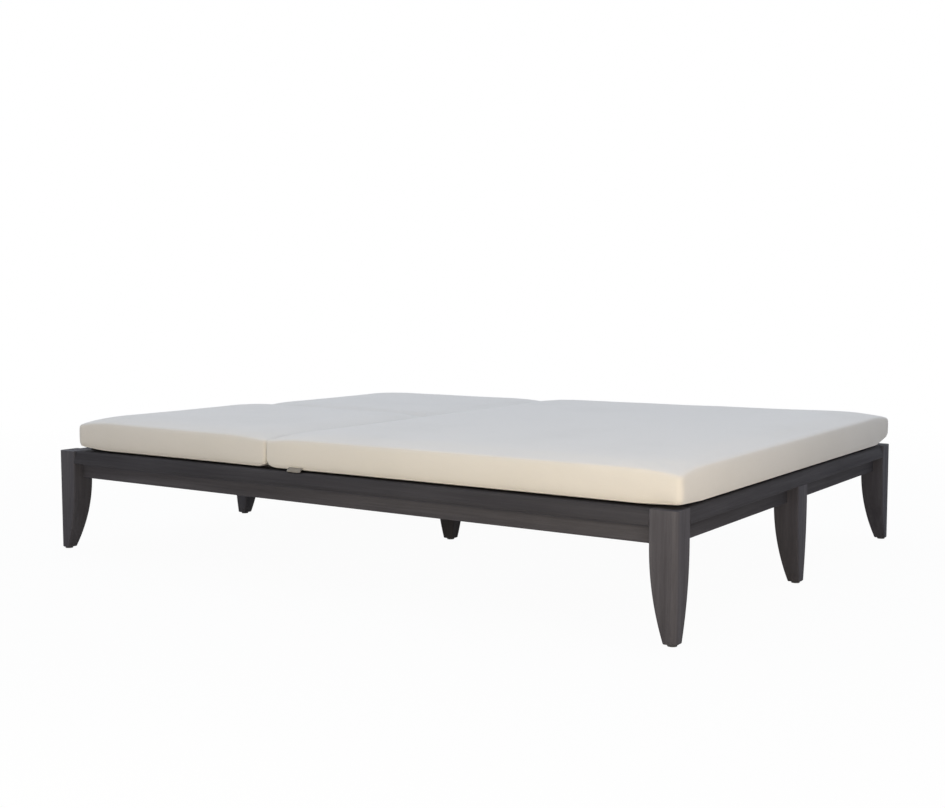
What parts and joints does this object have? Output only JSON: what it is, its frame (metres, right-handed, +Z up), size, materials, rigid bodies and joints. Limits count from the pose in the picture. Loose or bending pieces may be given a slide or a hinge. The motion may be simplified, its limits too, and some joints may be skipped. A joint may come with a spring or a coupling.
{
  "type": "double chaise lounger",
  "caption": "Low double chaise lounger: slatted hardwood frame on tapered legs, separately tilting backrests on props, one wide seat cushion and loose back cushions.",
  "frame": {"origin": "on the floor, under the middle of the frame", "axes": "+X towards the foot end, +Y towards the far side, +Z up; near is -Y and head is -X"},
  "size_m": [2, 1.52, 0.3873],
  "materials": {
    "stained_wood": "charcoal stain, open grain",
    "deck_wood": "charcoal stain, open grain",
    "glide_plastic": "moulded",
    "steel": "stainless, brushed",
    "cushion_cloth": "fine outdoor weave, matte",
    "foam": "open-cell foam",
    "tag_cloth": "plain woven tape"
  },
  "bodies": {
    "root": {"leg_foot_near": "stained_wood", "leg_foot_far": "stained_wood", "leg_head_near": "stained_wood", "leg_head_far": "stained_wood", "leg_foot_middle": "stained_wood", "leg_head_middle": "stained_wood", "leg_centre": "stained_wood", "side_board_near": "stained_wood", "side_board_far": "stained_wood", "end_board_foot": "stained_wood", "end_board_head": "stained_wood", "side_apron_near": "stained_wood", "side_apron_far": "stained_wood", "end_apron_foot_near": "stained_wood", "end_apron_foot_far": "stained_wood", "end_apron_head_near": "stained_wood", "end_apron_head_far": "stained_wood", "centre_beam_seat": "deck_wood", "centre_beam_head": "deck_wood", "hinge_cross_rail": "deck_wood", "slat_cleats": "deck_wood", "corner_braces": "deck_wood", "seat_slats": "deck_wood", "notch_strip_near_side": "deck_wood", "notch_strip_near_centre": "deck_wood", "notch_strip_far_side": "deck_wood", "notch_strip_far_centre": "deck_wood", "leg_glides": "glide_plastic", "corner_bolts": "steel", "frame_screws": "steel", "hinge_leaves_fixed": "steel", "hinge_pins": "steel", "seat_cushion_cover": "cushion_cloth", "seat_cushion_core": "foam", "cushion_tag": "tag_cloth"},
    "backrest_near": {"back_hinge_rail_near": "deck_wood", "back_head_rail_near": "deck_wood", "back_stiles_near": "deck_wood", "back_slats_near": "deck_wood", "back_screws_near": "steel", "hinge_leaves_near": "steel", "prop_lugs_near": "steel", "prop_bolts_near": "steel"},
    "prop_near": {"prop_arms_near": "deck_wood", "prop_bar_near": "steel"},
    "cushion_near": {"back_cushion_near_cover": "cushion_cloth", "back_cushion_near_core": "foam"},
    "backrest_far": {"back_hinge_rail_far": "deck_wood", "back_head_rail_far": "deck_wood", "back_stiles_far": "deck_wood", "back_slats_far": "deck_wood", "back_screws_far": "steel", "hinge_leaves_far": "steel", "prop_lugs_far": "steel", "prop_bolts_far": "steel"},
    "prop_far": {"prop_arms_far": "deck_wood", "prop_bar_far": "steel"},
    "cushion_far": {"back_cushion_far_cover": "cushion_cloth", "back_cushion_far_core": "foam"}
  },
  "joints": [
    {"name": "backrest_near_tilt", "type": "hinge", "parent": "root", "child": "backrest_near", "pos_m": [-0.191, -0.35, 0.297], "axis": [0, 1, 0], "range_deg": [0, 60]},
    {"name": "prop_near_swing", "type": "hinge", "parent": "backrest_near", "child": "prop_near", "pos_m": [-0.49788, -0.35, 0.24], "axis": [0, 1, 0], "range_deg": [-120, 0]},
    {"name": "cushion_near_ride", "type": "slide", "parent": "backrest_near", "child": "cushion_near", "axis": [-1, 0, 0], "range_m": [0, 0.07854]},
    {"name": "backrest_far_tilt", "type": "hinge", "parent": "root", "child": "backrest_far", "pos_m": [-0.191, 0.35, 0.297], "axis": [0, 1, 0], "range_deg": [0, 60]},
    {"name": "prop_far_swing", "type": "hinge", "parent": "backrest_far", "child": "prop_far", "pos_m": [-0.49788, 0.35, 0.24], "axis": [0, 1, 0], "range_deg": [-120, 0]},
    {"name": "cushion_far_ride", "type": "slide", "parent": "backrest_far", "child": "cushion_far", "axis": [-1, 0, 0], "range_m": [0, 0.07854]}
  ],
  "couplings": [
    {"joint": "prop_near_swing", "follows": "backrest_near_tilt", "ratio": -2},
    {"joint": "cushion_near_ride", "follows": "backrest_near_tilt", "m_per_rad": 0.075},
    {"joint": "prop_far_swing", "follows": "backrest_far_tilt", "ratio": -2},
    {"joint": "cushion_far_ride", "follows": "backrest_far_tilt", "m_per_rad": 0.075}
  ]
}
